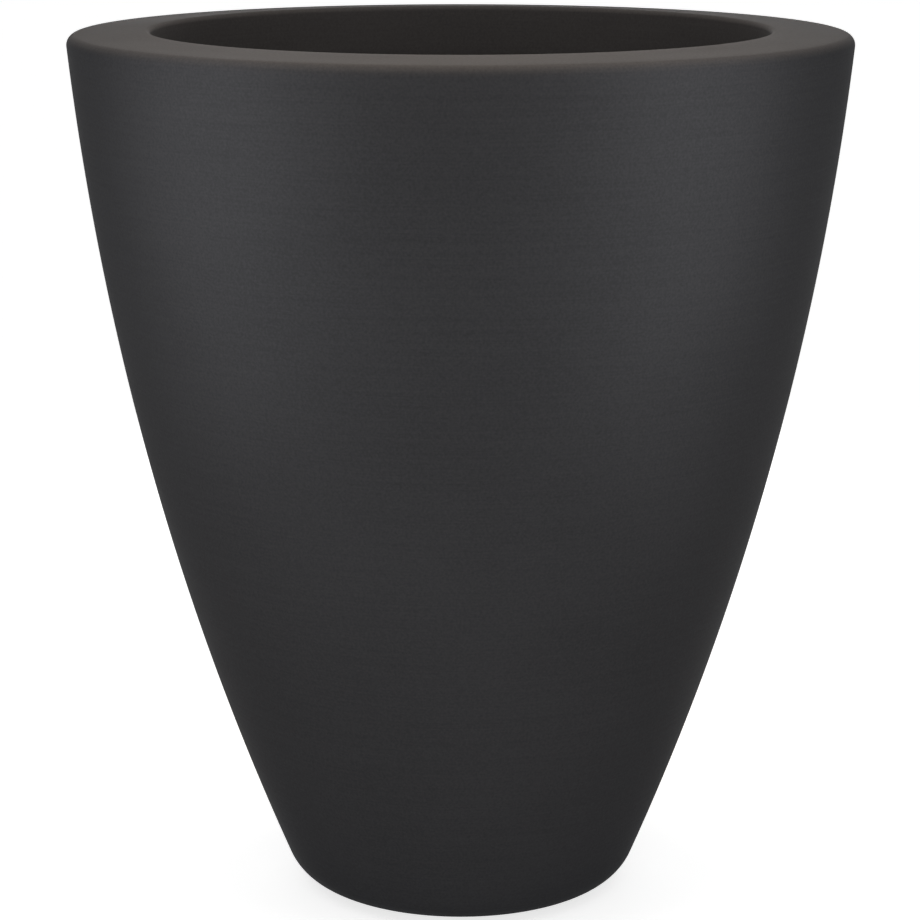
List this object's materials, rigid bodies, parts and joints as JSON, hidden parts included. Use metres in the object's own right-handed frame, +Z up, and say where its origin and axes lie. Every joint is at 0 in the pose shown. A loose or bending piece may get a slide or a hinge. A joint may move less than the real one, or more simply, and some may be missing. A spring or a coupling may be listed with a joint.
{
  "type": "tall planter",
  "caption": "Tall round tapering planter in glass-fibre laminate, with a wide rounded rim, a floor drain with a pull-out stopper and a loose perforated plant shelf inside.",
  "frame": {"origin": "on the floor, under the middle of the planter", "axes": "+Z up along the planter's axis, from the foot pads to the rim; +X across the middle, towards one of the shelf's two lifting slots"},
  "size_m": [0.76, 0.76, 0.8638],
  "materials": {
    "charcoal_gelcoat": "satin",
    "raw_laminate": "matte",
    "plywood": "matte",
    "shelf_plastic": "matte",
    "drain_plastic": "satin",
    "black_rubber": "matte",
    "stainless_steel": "satin"
  },
  "bodies": {
    "planter": {"outer_shell": "charcoal_gelcoat", "rim_cap": "charcoal_gelcoat", "rim_core": "plywood", "rim_closing_ring": "raw_laminate", "floor_core": "plywood", "floor_panel": "raw_laminate", "shelf_cleats": "raw_laminate", "drain_fitting": "drain_plastic", "drain_gasket": "black_rubber", "drain_locknut": "drain_plastic", "foot_pads": "black_rubber", "foot_screws": "stainless_steel"},
    "stopper": {"drain_stopper": "black_rubber"},
    "shelf": {"plant_shelf": "shelf_plastic"}
  },
  "joints": [
    {"name": "shelf_lift", "type": "slide", "parent": "planter", "child": "shelf", "axis": [0, 0, 1], "range_m": [0, 0.56]},
    {"name": "stopper_pull", "type": "slide", "parent": "planter", "child": "stopper", "axis": [0, 0, 1], "range_m": [0, 0.15]}
  ]
}
